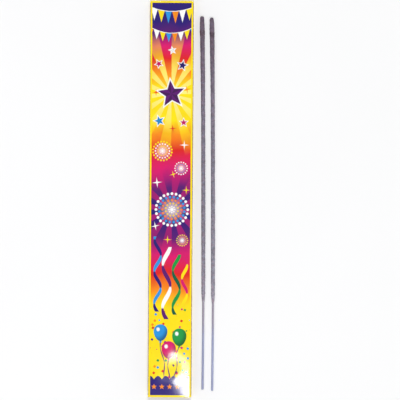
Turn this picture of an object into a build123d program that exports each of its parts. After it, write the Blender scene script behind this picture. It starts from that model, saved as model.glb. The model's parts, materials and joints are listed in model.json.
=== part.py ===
from build123d import *

import os
from math import asin, cos, degrees, radians, sin

# A pack of long sparklers. The carton lies on its back with eight sparklers in it, and two lie beside it.
# Millimetres. Origin at the middle of the carton's back face, +Z out of the printed front,
# +Y towards the end where the coated heads lie.

os.makedirs("parts", exist_ok=True)

# Sparkler: a steel wire, dipped over most of its length and dried with its tip down
sparkler_length = 500.0
wire_diameter = 3.0
coat_length = 383.5     # from the tip to where the coat runs out on the wire
tip_cover = 2.0         # coat past the buried end of the wire
tip_dome = 1.2          # length of the round tip
tip_diameter = 5.3      # where the round tip ends
neck_diameter = 6.3     # on the tip's side of the drip ring
neck_from_tip = 10.0
ring_diameter = 6.7     # the drip ring, the thickest place
ring_width = 2.6
ring_from_tip = 21.0
head_diameter = 6.5     # on the other side of the drip ring
head_length = 118.0     # from the tip to where the run has thinned to the body
body_diameter = 5.4
tail_taper = 12.5       # length over which the coat runs out on the wire
run_crown = 0.07        # how far the runs from tip to neck and from tail to wire bulge

# Carton: one sheet of card, creased and folded round its contents
board = 0.45            # thickness of the card
fold_radius = 0.9       # outside radius of a long fold
crease_gap = 0.08       # from the end of a panel to the round root of its flap
card_clearance = 0.15   # between two cards that lie face to face
rest_gap = 0.1          # under a sparkler that lies in the carton
boxed_count = 8
side_play = 0.33        # between neighbours in the carton, and from them to its sides
end_play = 12.95        # from each end of a sparkler to the closed dust flaps
head_room = 8.3         # over the layer of sparklers
front_setback = 0.2     # from the outside of a lid to the end of the front panel

# Seam along the back right corner
seam_film = 0.08        # adhesive between the glue flap and the side panel
seam_margin = 1.2       # bare strip round the adhesive
glue_flap_height = 10.5
glue_flap_setback = 6.0
glue_flap_slant = 4.0   # how much shorter each end is at the free edge
raw_edge_lift = 0.1     # from the surface to the cut edge of the side panel

# Tuck closure, the same at both ends
lid_side_clearance = 0.5
tongue_side_clearance = 1.2   # inside the folds on either side
tongue_headroom = 0.2   # from the tongue's crease to the front panel
tongue_reach = 9.0
tongue_lean = 18.0      # degrees below the front panel
tongue_fold_in = 45.0   # degrees further that it can fold in
tongue_corner = 6.0
lock_slit = 6.0         # length of the slit at each end of the tongue's crease
slit_width = 0.3
dust_flap_reach = 16.0
dust_flap_foot = 0.8    # from the back face to the flap's lower edge
dust_flap_shoulder = 3.6    # from the front face to its upper edge, under the tongue
dust_flap_taper = 1.4   # how much each edge draws in over the reach
dust_flap_corner = 3.5
dust_flap_fold_in = 50.0    # degrees that it can be pushed in

# Loose sparklers beside the carton
loose_gap = 13.0        # from the carton to the axis of the first
loose_spacing = 13.0
loose_drop = (4.9, 6.5)     # how far each middle lies below the carton's middle
loose_turn = 0.42       # degrees, tips towards the carton

# Sizes that follow from the ones above
carton_length = sparkler_length + 2 * (end_play + 2 * board + card_clearance)
carton_width = boxed_count * (ring_diameter + side_play) + side_play + 3 * board + seam_film
carton_depth = ring_diameter + rest_gap + head_room + 2 * board
half_length = carton_length / 2
half_width = carton_width / 2
wire_radius = wire_diameter / 2
ring_radius = ring_diameter / 2
body_radius = body_diameter / 2
inside_left = -half_width + board
seam_outside = half_width - board - seam_film
seam_inside = seam_outside - board
fold_x = half_width - fold_radius
fold_z = carton_depth - fold_radius
seam_fold_x = seam_outside - fold_radius
lid_axis_y = half_length - board / 2
lid_axis_z = board / 2
tongue_axis_z = carton_depth - board - tongue_headroom - board / 2
dust_flap_axis_x = half_width - board / 2
dust_flap_axis_y = half_length - board - card_clearance - board / 2
front_end = half_length - front_setback
back_end = half_length - board - crease_gap
side_end = dust_flap_axis_y - board / 2 - crease_gap


def plate(low, high):
    # A flat piece between two corners
    size = [b - a for a, b in zip(low, high)]
    middle = [(a + b) / 2 for a, b in zip(low, high)]
    return Pos(*middle) * Box(*size)


def section_along_y(section, half):
    # Carry a section drawn in X and Z to both sides of the carton's middle
    return extrude(Plane.XZ * section, half, both=True)


def fold_section(x, z, side_x, side_z):
    # A quarter ring of card round the centre (x, z), on the sides given as -1 or 1
    ring = Circle(fold_radius) - Circle(fold_radius - board)
    quarter = Pos(side_x * fold_radius / 2, side_z * fold_radius / 2) * Rectangle(fold_radius, fold_radius)
    return Pos(x, z) * (ring & quarter)


def strip_section(x0, x1, z0, z1):
    # A straight stretch of card in the same section
    return Pos((x0 + x1) / 2, (z0 + z1) / 2) * Rectangle(x1 - x0, z1 - z0)


def crease_bevel(fold_in):
    # Where a flap folds in past square, the inner corner of the card that carries it gives way.
    # Returns the bevel's length along that card and its depth, clear of the flap at its limit.
    half = board / 2
    clear = half + crease_gap
    angle = radians(90 - fold_in)
    along = (clear + half * cos(angle)) / sin(angle) - clear
    depth = half + clear * (1 - sin(angle)) / cos(angle)
    return along, depth


def flap(outline, reach, width, far_bevel=(0, 0)):
    # A flap of card in its own frame: hinge along X, reach along Y, half round at the hinge.
    # The outline, drawn in X and Y, cuts its corners and slits. The bevel is at its far inner edge.
    half = board / 2
    along, depth = far_bevel
    far = [(reach - along, half), (reach, half - depth)] if along else [(reach, half)]
    sides = Polyline((0, half), *far, (reach, -half), (0, -half))
    root = ThreePointArc((0, -half), (-half, 0), (0, half))
    card = extrude(Plane.YZ * make_face(sides + root), width / 2, both=True)
    return card & extrude(outline, board, both=True)


def front_panel():
    # The flat plate between the two front folds
    return plate((-fold_x, -front_end, carton_depth - board), (fold_x, front_end, carton_depth))


def back_panel():
    return plate((-fold_x, -back_end, 0), (seam_fold_x, back_end, board))


def dust_flap_reliefs():
    # The bevels at both ends of the left side panel, where its dust flaps fold in
    along, depth = crease_bevel(dust_flap_fold_in)
    low = dust_flap_foot - card_clearance
    high = carton_depth - dust_flap_shoulder + card_clearance
    corner = (inside_left, side_end)
    wedge = Polygon(corner, (inside_left, side_end - along), (inside_left - depth, side_end), align=None)
    wedge = Pos(0, 0, low) * extrude(wedge, high - low, dir=(0, 0, 1))
    return wedge + mirror(wedge, Plane.XZ)


def left_side_panel():
    # One stretch of card with a fold at either edge
    section = strip_section(-half_width, -half_width + board, fold_radius, fold_z)
    section += fold_section(-fold_x, fold_radius, -1, -1)
    section += fold_section(-fold_x, fold_z, -1, 1)
    return section_along_y(section, side_end) - dust_flap_reliefs()


def right_side_panel():
    # Folded at the front, cut off at the back, where it covers the glue flap
    section = strip_section(half_width - board, half_width, raw_edge_lift, fold_z)
    section += fold_section(fold_x, fold_z, 1, 1)
    return section_along_y(section, side_end) - mirror(dust_flap_reliefs(), Plane.YZ)


def seam_strip(x0, x1, margin):
    # The upright part of the seam, shorter at its free edge
    root = half_length - glue_flap_setback - margin
    free = root - glue_flap_slant
    low = fold_radius + margin
    high = glue_flap_height - margin
    outline = Polygon((-root, low), (root, low), (free, high), (-free, high), align=None)
    return Pos(x0, 0, 0) * extrude(Plane.YZ * outline, x1 - x0)


def glue_flap():
    fold = fold_section(seam_fold_x, fold_radius, 1, -1)
    fold = section_along_y(fold, half_length - glue_flap_setback)
    return seam_strip(seam_inside, seam_outside, 0) + fold


def seam_glue_line():
    return seam_strip(seam_outside, half_width - board, seam_margin)


def lid():
    width = carton_width - 2 * lid_side_clearance
    reach = tongue_axis_z - board / 2 - crease_gap - lid_axis_z
    outline = Pos(0, reach / 2) * Rectangle(width, reach + 2 * board)
    place = Plane((0, lid_axis_y, lid_axis_z), x_dir=(1, 0, 0), z_dir=(0, -1, 0))
    bevel = crease_bevel(tongue_lean + tongue_fold_in)
    return place * flap(outline, reach, width, bevel)


def tongue():
    # Joined to the lid between two slits, with free shoulders past them
    width = 2 * (fold_x - tongue_side_clearance)
    shoulder = board / 2 + slit_width
    body = Pos(0, (shoulder + tongue_reach) / 2) * Rectangle(width, tongue_reach - shoulder)
    body = fillet(body.vertices().sort_by(Axis.Y)[-2:], tongue_corner)
    crease = Pos(0, shoulder / 2) * Rectangle(width - 2 * lock_slit, shoulder + 2 * board)
    lean = radians(tongue_lean)
    place = Plane((0, lid_axis_y, tongue_axis_z), x_dir=(1, 0, 0), z_dir=(0, sin(lean), -cos(lean)))
    return place * flap(body + crease, tongue_reach, width)


def dust_flap():
    # The left one, drawn in with its edges towards the free end
    low = dust_flap_foot
    high = carton_depth - dust_flap_shoulder
    corners = ((low, -board), (high, -board), (high, 0), (high - dust_flap_taper, dust_flap_reach),
               (low + dust_flap_taper, dust_flap_reach), (low, 0))
    outline = Polygon(*corners, align=None)
    outline = fillet(outline.vertices().sort_by(Axis.Y)[-2:], dust_flap_corner)
    place = Plane((-dust_flap_axis_x, dust_flap_axis_y, 0), x_dir=(0, 0, 1), z_dir=(0, 1, 0))
    return place * flap(outline, dust_flap_reach, 2 * carton_depth)


def coat():
    # Turned about Z with the tip at the top. The slurry ran towards the tip as it dried.
    tip_radius = tip_diameter / 2
    neck_radius = neck_diameter / 2
    dome_radius = (tip_radius ** 2 + tip_dome ** 2) / (2 * tip_dome)
    tip = (tip_radius, -tip_dome)
    neck = (neck_radius, -neck_from_tip)
    neck_middle = ((tip_radius + neck_radius) / 2 + run_crown, -(tip_dome + neck_from_tip) / 2)
    ring_start = (neck_radius, ring_width / 2 - ring_from_tip)
    ring_peak = (ring_radius, -ring_from_tip)
    head = (head_diameter / 2, -ring_width / 2 - ring_from_tip)
    body = (body_radius, -head_length)
    tail = (body_radius, tail_taper - coat_length)
    tail_middle = ((body_radius + wire_radius) / 2 + run_crown, tail_taper / 2 - coat_length)
    end = (wire_radius, -coat_length)
    down = (0, -1)
    thinning = (body_diameter - head_diameter, -head_length)
    outline = [
        RadiusArc((0, 0), tip, dome_radius),
        Bezier(tip, neck_middle, neck),
        Line(neck, ring_start),
        ThreePointArc(ring_start, ring_peak, head),
        Spline(head, body, tangents=[thinning, down]),
        Line(body, tail),
        Bezier(tail, tail_middle, end),
        Polyline(end, (wire_radius, -tip_cover), (0, -tip_cover), (0, 0)),
    ]
    return revolve(Plane.XZ * make_face(outline), Axis.Z)


def wire():
    length = sparkler_length - tip_cover
    return Pos(0, 0, -tip_cover - length / 2) * Cylinder(wire_radius, length)


def lying(surface_z):
    # Lay an upright sparkler along Y, at rest on its drip ring and on the start of its tail
    pitch = asin((ring_radius - body_radius) / (coat_length - tail_taper - ring_from_tip))
    ring_y = sparkler_length / 2 - ring_from_tip
    middle_z = ring_radius * cos(pitch) - ring_y * sin(pitch)
    return Pos(0, 0, surface_z + middle_z) * Rot(X=degrees(pitch) - 90) * Pos(0, 0, sparkler_length / 2)


pieces = {
    "front_panel": front_panel(),
    "back_panel": back_panel(),
    "left_side_panel": left_side_panel(),
    "right_side_panel": right_side_panel(),
    "glue_flap": glue_flap(),
    "seam_glue_line": seam_glue_line(),
}

closure = {
    "lid": lid(),
    "tongue": tongue(),
    "dust_flap_left": dust_flap(),
    "dust_flap_right": mirror(dust_flap(), Plane.YZ),
}
for name, shape in closure.items():
    pieces["top_" + name] = shape
    pieces["bottom_" + name] = mirror(shape, Plane.XZ)

places = {}
for i in range(boxed_count):
    x = inside_left + side_play + ring_radius + i * (ring_diameter + side_play)
    places[f"boxed_sparkler_{i + 1}"] = Pos(x, 0, 0) * lying(board + rest_gap)
for i, drop in enumerate(loose_drop):
    x = half_width + loose_gap + i * loose_spacing
    places[f"loose_sparkler_{i + 1}"] = Pos(x, -drop, 0) * Rot(Z=loose_turn) * lying(0)
upright_wire = wire()
upright_coat = coat()
for name, place in places.items():
    pieces[name + "_wire"] = place * upright_wire
    pieces[name + "_coat"] = place * upright_coat

for name, shape in pieces.items():
    export_step(shape, f"parts/{name}.step")
print(f"carton {carton_length:.2f} x {carton_width:.2f} x {carton_depth:.2f} mm, {len(pieces)} pieces")
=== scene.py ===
import json

import bpy
import numpy as np
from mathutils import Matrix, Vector


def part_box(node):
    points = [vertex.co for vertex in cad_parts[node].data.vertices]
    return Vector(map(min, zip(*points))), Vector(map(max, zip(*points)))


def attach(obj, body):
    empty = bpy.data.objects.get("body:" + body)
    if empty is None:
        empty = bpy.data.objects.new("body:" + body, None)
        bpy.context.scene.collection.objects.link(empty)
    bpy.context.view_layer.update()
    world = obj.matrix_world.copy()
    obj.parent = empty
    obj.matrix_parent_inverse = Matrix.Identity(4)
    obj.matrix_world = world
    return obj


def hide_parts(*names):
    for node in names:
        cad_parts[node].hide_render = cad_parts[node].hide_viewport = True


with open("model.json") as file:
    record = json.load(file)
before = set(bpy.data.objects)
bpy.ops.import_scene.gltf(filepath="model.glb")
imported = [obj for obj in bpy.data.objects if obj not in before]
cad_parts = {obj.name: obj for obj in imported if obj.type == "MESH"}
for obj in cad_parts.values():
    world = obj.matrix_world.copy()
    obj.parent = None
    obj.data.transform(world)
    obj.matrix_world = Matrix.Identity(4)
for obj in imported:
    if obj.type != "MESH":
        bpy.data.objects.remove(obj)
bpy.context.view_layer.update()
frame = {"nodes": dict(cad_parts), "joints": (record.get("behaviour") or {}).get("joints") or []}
joints = {joint["name"]: joint for joint in frame["joints"]}
mm = 0.001


# Meshes

def gridFaces(rows, cols, wrap=False):
    # quads of a grid of points numbered row by row, with the last column joined to the first where asked
    r, c = np.meshgrid(np.arange(rows - 1), np.arange(cols - (not wrap)), indexing="ij")
    right = (c + 1) % cols
    corners = [r * cols + c, r * cols + right, (r + 1) * cols + right, (r + 1) * cols + c]
    return np.stack(corners, axis=-1).reshape(-1, 4)


def loopFaces(rows, cols, turnOver=False):
    # the faces of a closed loop that is carried from row to row, and the two caps that shut its ends
    quads = gridFaces(rows, cols, wrap=True)
    caps = [np.arange(cols)[::-1], np.arange(cols) + (rows - 1) * cols]
    if turnOver:
        return quads[:, ::-1], [cap[::-1] for cap in caps]
    return quads, caps


def makeMesh(name, points, quads, caps=(), sheetMap=None, values=None, finish=None, sharp=None):
    # caps are rings of point numbers that shut an end, values are numbers at the points,
    # finish is the material's number at each face, and sharp is an angle in degrees
    points = points.reshape(-1, 3)
    corners = np.concatenate([quads.ravel(), *caps]).astype(np.int32)
    sizes = np.concatenate([np.full(len(quads), 4), [len(cap) for cap in caps]]).astype(np.int32)
    mesh = bpy.data.meshes.new(name)
    mesh.vertices.add(len(points))
    mesh.vertices.foreach_set("co", points.astype(np.float32).ravel())
    mesh.loops.add(len(corners))
    mesh.loops.foreach_set("vertex_index", corners)
    mesh.polygons.add(len(sizes))
    mesh.polygons.foreach_set("loop_start", (np.cumsum(sizes) - sizes).astype(np.int32))
    mesh.polygons.foreach_set("use_smooth", np.ones(len(sizes), bool))
    if finish is not None:
        mesh.polygons.foreach_set("material_index", finish.astype(np.int32))
    mesh.update(calc_edges=True)
    mesh.validate()
    if sheetMap is not None:
        layer = mesh.uv_layers.new(name="sheetMap")
        layer.uv.foreach_set("vector", sheetMap.reshape(-1, 2)[corners].astype(np.float32).ravel())
    for label, numbers in (values or {}).items():
        attribute = mesh.attributes.new(label, "FLOAT", "POINT")
        attribute.data.foreach_set("value", numbers.astype(np.float32).ravel())
    if sharp:
        mesh.set_sharp_from_angle(angle=np.radians(sharp))
    return mesh


def addObject(name, data):
    holder = bpy.data.objects.new(name, data)
    bpy.context.scene.collection.objects.link(holder)
    return holder


def addPiece(mesh, materials, body, nodes):
    # the piece takes the mesh's name, moves with the body and stands for the nodes
    piece = addObject(mesh.name, mesh)
    for material in materials:
        mesh.materials.append(material)
    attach(piece, body)
    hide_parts(*nodes)
    return piece


def slowWaves(a, b, wavelength, count, seed):
    # a sum of plane waves of random direction and phase, with lengths from 0.7 to 1.6 of the one given
    draw = np.random.default_rng(seed)
    total = np.zeros(np.broadcast(a, b).shape)
    for turn, phase, stretch in draw.random((count, 3)) * (np.pi, 2 * np.pi, 0.9):
        number = 2 * np.pi / (wavelength * (0.7 + stretch))
        total += np.cos(number * (a * np.cos(turn) + b * np.sin(turn)) + phase)
    return total / np.sqrt(count / 2)


def softNoise(rows, cols, rowBlur, colBlur, seed):
    # white noise blurred by a bell curve in the frequency domain, wrapping at the edges, of unit spread
    raw = np.random.default_rng(seed).standard_normal((rows, cols))
    rowWave = np.fft.fftfreq(rows)[:, None] * rowBlur
    colWave = np.fft.rfftfreq(cols)[None, :] * colBlur
    bell = np.exp(-2 * np.pi ** 2 * (rowWave ** 2 + colWave ** 2))
    soft = np.fft.irfft2(np.fft.rfft2(raw) * bell, s=(rows, cols))
    return (soft - soft.mean()) / soft.std()


# Shader nodes

def ink(red, green, blue):
    # a screen colour of 0 to 255 as the linear colour that shaders take
    screen = np.array([red, green, blue]) / 255
    linear = np.where(screen <= 0.04045, screen / 12.92, ((screen + 0.055) / 1.055) ** 2.4)
    return (*linear.tolist(), 1.0)


def darker(colour, share):
    return tuple(channel * share for channel in colour[:3]) + (1.0,)


def feed(tree, socket, value):
    # links another node's output, or sets a plain value
    if isinstance(value, bpy.types.NodeSocket):
        tree.links.new(value, socket)
    else:
        socket.default_value = value


def addNode(tree, kind, inputs=None, **settings):
    node = tree.nodes.new("ShaderNode" + kind)
    for key, value in settings.items():
        setattr(node, key, value)
    for key, value in (inputs or {}).items():
        feed(tree, node.inputs[key], value)
    return node


def calc(tree, operation, *values):
    return addNode(tree, "Math", dict(enumerate(values)), operation=operation).outputs[0]


def plain(operation):
    # a short name for calc with one operation
    return lambda tree, *values: calc(tree, operation, *values)


plus, minus, times, ratio = map(plain, ("ADD", "SUBTRACT", "MULTIPLY", "DIVIDE"))
sine, cosine, fract, absolute = map(plain, ("SINE", "COSINE", "FRACT", "ABSOLUTE"))
least, most, timesPlus = map(plain, ("MINIMUM", "MAXIMUM", "MULTIPLY_ADD"))


def calcVector(tree, operation, *values):
    return addNode(tree, "VectorMath", dict(enumerate(values)), operation=operation).outputs[0]


def scaled(tree, colour, factor):
    return addNode(tree, "VectorMath", {0: colour, "Scale": factor}, operation="SCALE").outputs[0]


def parts(tree, vector):
    return addNode(tree, "SeparateXYZ", {0: vector}).outputs


def joined(tree, x, y):
    return addNode(tree, "CombineXYZ", {"X": x, "Y": y}).outputs[0]


def pointValue(tree, name):
    return addNode(tree, "Attribute", attribute_name=name).outputs["Fac"]


def between(tree, value, low, high, toLow=0.0, toHigh=1.0):
    # spreads low to high over toLow to toHigh, and stops there
    inputs = {"Value": value, "From Min": low, "From Max": high, "To Min": toLow, "To Max": toHigh}
    return addNode(tree, "MapRange", inputs).outputs["Result"]


def paint(tree, under, over, mask):
    return addNode(tree, "Mix", {0: mask, 6: under, 7: over}, data_type="RGBA").outputs[2]


def ramp(tree, factor, stops, interpolation="LINEAR"):
    node = addNode(tree, "ValToRGB", {"Fac": factor})
    node.color_ramp.interpolation = interpolation
    elements = node.color_ramp.elements
    elements.remove(elements[1])
    elements[0].position, elements[0].color = stops[0]
    for position, colour in stops[1:]:
        elements.new(position).color = colour
    return node.outputs["Color"]


def noise(tree, point, scale, detail=2.0, roughness=0.5):
    inputs = {"Vector": point, "Scale": scale, "Detail": detail, "Roughness": roughness}
    return addNode(tree, "TexNoise", inputs).outputs["Fac"]


def newGroup(name, inputs, outputs):
    # Point and Centre are vectors, and every other input or output is a number
    group = bpy.data.node_groups.new(name, "ShaderNodeTree")
    for labels, way in ((inputs, "INPUT"), (outputs, "OUTPUT")):
        for label in labels.split():
            kind = "Vector" if label in ("Point", "Centre") else "Float"
            group.interface.new_socket(label, in_out=way, socket_type="NodeSocket" + kind)
    return group, group.nodes.new("NodeGroupInput").outputs, group.nodes.new("NodeGroupOutput").inputs


def useGroup(tree, group, **inputs):
    return addNode(tree, "Group", inputs, node_tree=group).outputs


def newMaterial(name):
    # an empty material, its node tree, and the place on the piece in metres
    material = bpy.data.materials.new(name)
    material.use_nodes = True
    tree = material.node_tree
    tree.nodes.clear()
    return material, tree, addNode(tree, "TexCoord").outputs["Object"]


def setShader(tree, inputs, height=None, bump=None):
    # the material's one shader; bump is the strength and the depth in metres that the height is raised by
    if bump:
        raised = addNode(tree, "Bump", {"Strength": bump[0], "Distance": bump[1], "Height": height})
        inputs = {**inputs, "Normal": raised.outputs[0]}
    shader = addNode(tree, "BsdfPrincipled", inputs)
    addNode(tree, "OutputMaterial", {"Surface": shader.outputs[0]})


def length(tree, x, y):
    return calc(tree, "SQRT", timesPlus(tree, x, x, times(tree, y, y)))


def polar(tree, point, centre):
    # distance from the centre, and the angle from straight up, clockwise
    x, y, _ = parts(tree, calcVector(tree, "SUBTRACT", point, centre))
    return length(tree, x, y), calc(tree, "ARCTAN2", x, y)


def unpolar(tree, distance, angle):
    # how far the place lies in the direction that the angle starts from, and how far to its side
    return times(tree, distance, cosine(tree, angle)), times(tree, distance, sine(tree, angle))


# Motifs and textures, each a shader group

motif = {
    "eggWiden": 0.16,              # how much wider a balloon is at its top than at its middle
    "shoulder": (-0.34, 0.4),      # where it shines, in shares of its half width and half height
    "shine": (0.12, 1.3),          # how far from there the shine is full, and gone
    "ribbon": (0.2, 0.5),          # half a streamer's width where it is edge on and where it is flat
    "blend": 0.1,                  # softness of a ray's sides and of a streamer's twist
    "pennantShare": 0.94,          # how much of its pitch a pennant takes up
    "cord": (0.25, 0.5),           # half the width of the pennants' cord, and where its edge ends
}
texture = {
    "coarse": (0.6, 3.0, 0.6),     # share, detail and roughness of the coarse grains, and of the fine
    "fine": (0.4, 2.0, 0.6),
    "speckle": (0.34, 0.66),       # levels of the noise that become 0 and 1
    "cloud": (0.35, 0.65),
    "scuff": (0.78, 0.86),
    "scuffNoise": (5.0, 0.65),     # its detail and roughness
    "wearHelp": 0.25,              # what full wear adds to the noise
}


def starGroup():
    # Inside is how far a point lies inside a star's edge: the angle is folded into half a ray, where the edge
    # is one straight line from the tip at Size to the notch. Facet is 1 on one half of each ray, or else 0.
    group, given, put = newGroup("starShape", "Point Centre Size Turn Rays Waist", "Inside Facet")
    distance, angle = polar(group, given["Point"], given["Centre"])
    angle = plus(group, angle, given["Turn"])
    half = ratio(group, np.pi, given["Rays"])
    along, aside = unpolar(group, distance, calc(group, "PINGPONG", angle, half))
    notchAlong, notchAside = unpolar(group, times(group, given["Size"], given["Waist"]), half)
    notchAlong = minus(group, notchAlong, given["Size"])
    past = times(group, notchAside, minus(group, along, given["Size"]))
    cross = minus(group, times(group, notchAlong, aside), past)
    feed(group, put["Inside"], ratio(group, cross, length(group, notchAlong, notchAside)))
    ray = fract(group, ratio(group, angle, times(group, half, 2)))
    feed(group, put["Facet"], calc(group, "LESS_THAN", ray, 0.5))
    return group


def dotRingGroup():
    # Inside is how far a point lies inside the nearest of Count round dots, spaced evenly on a circle
    group, given, put = newGroup("dotRing", "Point Centre Radius Dot Count Shift", "Inside")
    distance, angle = polar(group, given["Point"], given["Centre"])
    step = ratio(group, 2 * np.pi, given["Count"])
    place = minus(group, ratio(group, angle, step), given["Shift"])
    off = times(group, minus(group, place, calc(group, "ROUND", place)), step)
    along, aside = unpolar(group, distance, off)
    away = length(group, minus(group, along, given["Radius"]), aside)
    feed(group, put["Inside"], minus(group, given["Dot"], away))
    return group


def rayFanGroup():
    # Ray is 1 in every second wedge round a centre, and fades out from Near to Far
    group, given, put = newGroup("rayFan", "Point Centre Wedges Near Far", "Ray")
    distance, angle = polar(group, given["Point"], given["Centre"])
    turns = sine(group, times(group, angle, given["Wedges"]))
    wedge = between(group, turns, -motif["blend"], motif["blend"])
    fade = between(group, distance, given["Near"], given["Far"], 1, 0)
    feed(group, put["Ray"], times(group, wedge, fade))
    return group


def balloonGroup():
    # Inside is how far a point lies inside an egg that widens upwards, and Shine is 1 on its lit shoulder
    group, given, put = newGroup("balloon", "Point Centre Width Height", "Inside Shine")
    x, y, _ = parts(group, calcVector(group, "SUBTRACT", given["Point"], given["Centre"]))
    up = ratio(group, y, given["Height"])
    aside = ratio(group, x, times(group, given["Width"], timesPlus(group, up, motif["eggWiden"], 1.0)))
    room = minus(group, 1, length(group, aside, up))
    feed(group, put["Inside"], times(group, room, given["Width"]))
    left, high = motif["shoulder"]
    toShoulder = length(group, minus(group, aside, left), minus(group, up, high))
    feed(group, put["Shine"], between(group, toShoulder, *motif["shine"], 1, 0))
    return group


def streamerGroup():
    # Inside is how far a point lies inside a ribbon that sways as a sine along the sheet and seems to twist,
    # and Face is 1 where its front shows
    group, given, put = newGroup("streamer", "Point Middle Sway Pitch Shift Width Low High", "Inside Face")
    x, y, _ = parts(group, given["Point"])
    phase = timesPlus(group, ratio(group, y, given["Pitch"]), 2 * np.pi, given["Shift"])
    line = timesPlus(group, sine(group, phase), given["Sway"], given["Middle"])
    twist = cosine(group, phase)
    half = times(group, given["Width"], between(group, absolute(group, twist), 0, 1, *motif["ribbon"]))
    inside = minus(group, half, absolute(group, minus(group, x, line)))
    ends = least(group, minus(group, y, given["Low"]), minus(group, given["High"], y))
    feed(group, put["Inside"], least(group, inside, ends))
    feed(group, put["Face"], between(group, twist, -motif["blend"], motif["blend"]))
    return group


def pennantGroup():
    # Inside is how far a point lies inside a row of hanging triangles, Cord is 1 on the line they hang from,
    # which sags as a square, and Number counts them across
    group, given, put = newGroup("pennants", "Point Top Sag Drop Width Span", "Inside Cord Number")
    x, y, _ = parts(group, given["Point"])
    share = ratio(group, x, given["Span"])
    rise = times(group, times(group, share, share), given["Sag"])
    below = minus(group, plus(group, given["Top"], rise), y)
    place = ratio(group, x, given["Width"])
    off = times(group, absolute(group, minus(group, fract(group, place), 0.5)), 2)
    reach = times(group, minus(group, motif["pennantShare"], off), given["Drop"])
    room = minus(group, reach, absolute(group, below))
    aside = ratio(group, times(group, room, given["Width"]), times(group, given["Drop"], 2))
    feed(group, put["Inside"], least(group, below, aside))
    feed(group, put["Cord"], between(group, absolute(group, below), *motif["cord"], 1, 0))
    feed(group, put["Number"], calc(group, "FLOOR", place))
    return group


def grainGroup():
    # coarse and fine speckle with a slow mottle, all about 0 to 1
    group, given, put = newGroup("grain", "Point Coarse Fine Mottle", "Speckle Cloud")
    grains = []
    for name in ("Coarse", "Fine"):
        share, detail, roughness = texture[name.lower()]
        grains.append(times(group, noise(group, given["Point"], given[name], detail, roughness), share))
    feed(group, put["Speckle"], between(group, plus(group, *grains), *texture["speckle"]))
    mottle = noise(group, given["Point"], given["Mottle"])
    feed(group, put["Cloud"], between(group, mottle, *texture["cloud"]))
    return group


def scuffGroup():
    # Mask is 1 where rubbing has taken the surface off, most where Wear is high
    group, given, put = newGroup("scuff", "Point Wear Scale", "Mask")
    patch = noise(group, given["Point"], given["Scale"], *texture["scuffNoise"])
    worn = plus(group, patch, times(group, given["Wear"], texture["wearHelp"]))
    feed(group, put["Mask"], between(group, worn, *texture["scuff"]))
    return group


starShape, dotRing, rayFan, balloon = starGroup(), dotRingGroup(), rayFanGroup(), balloonGroup()
streamer, pennants, grain, scuff = streamerGroup(), pennantGroup(), grainGroup(), scuffGroup()
print("shader groups:", len(bpy.data.node_groups))


# The printed sheet. Its map is in millimetres, measured across from the middle of the front panel
# and along from the middle of the carton, as on the flat sheet before it was folded.

yellow, orange, red = ink(253, 223, 0), ink(248, 140, 8), ink(222, 24, 18)
magenta, purple, indigo = ink(216, 6, 106), ink(90, 10, 110), ink(34, 12, 114)
sky, leaf, white, cream = ink(36, 148, 222), ink(16, 150, 64), ink(252, 250, 248), ink(255, 246, 160)

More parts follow.
